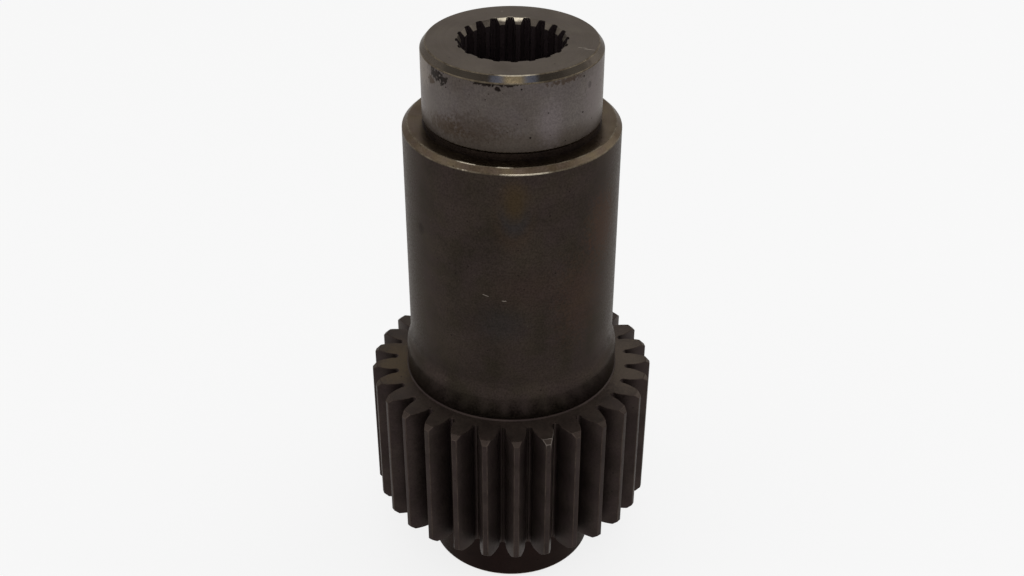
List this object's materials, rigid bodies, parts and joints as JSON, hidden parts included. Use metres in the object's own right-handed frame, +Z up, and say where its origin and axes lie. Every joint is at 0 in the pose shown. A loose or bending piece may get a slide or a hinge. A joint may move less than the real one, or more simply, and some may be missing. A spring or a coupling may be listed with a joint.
{
  "type": "splined gear shaft",
  "caption": "Hollow steel gear shaft in one piece: splined socket in its top end, ground neck with a shoulder, long plain body, spur gear and a short hub.",
  "frame": {"origin": "centre of the bottom face, where the shaft's axis meets the surface it stands on", "axes": "+Z up the shaft's axis, towards the splined end"},
  "size_m": [0.1118, 0.1119, 0.2271],
  "materials": {
    "steel": "dark heat-treated skin, with a ground neck and end face"
  },
  "bodies": {
    "root": {"gear_shaft": "steel"}
  },
  "joints": []
}
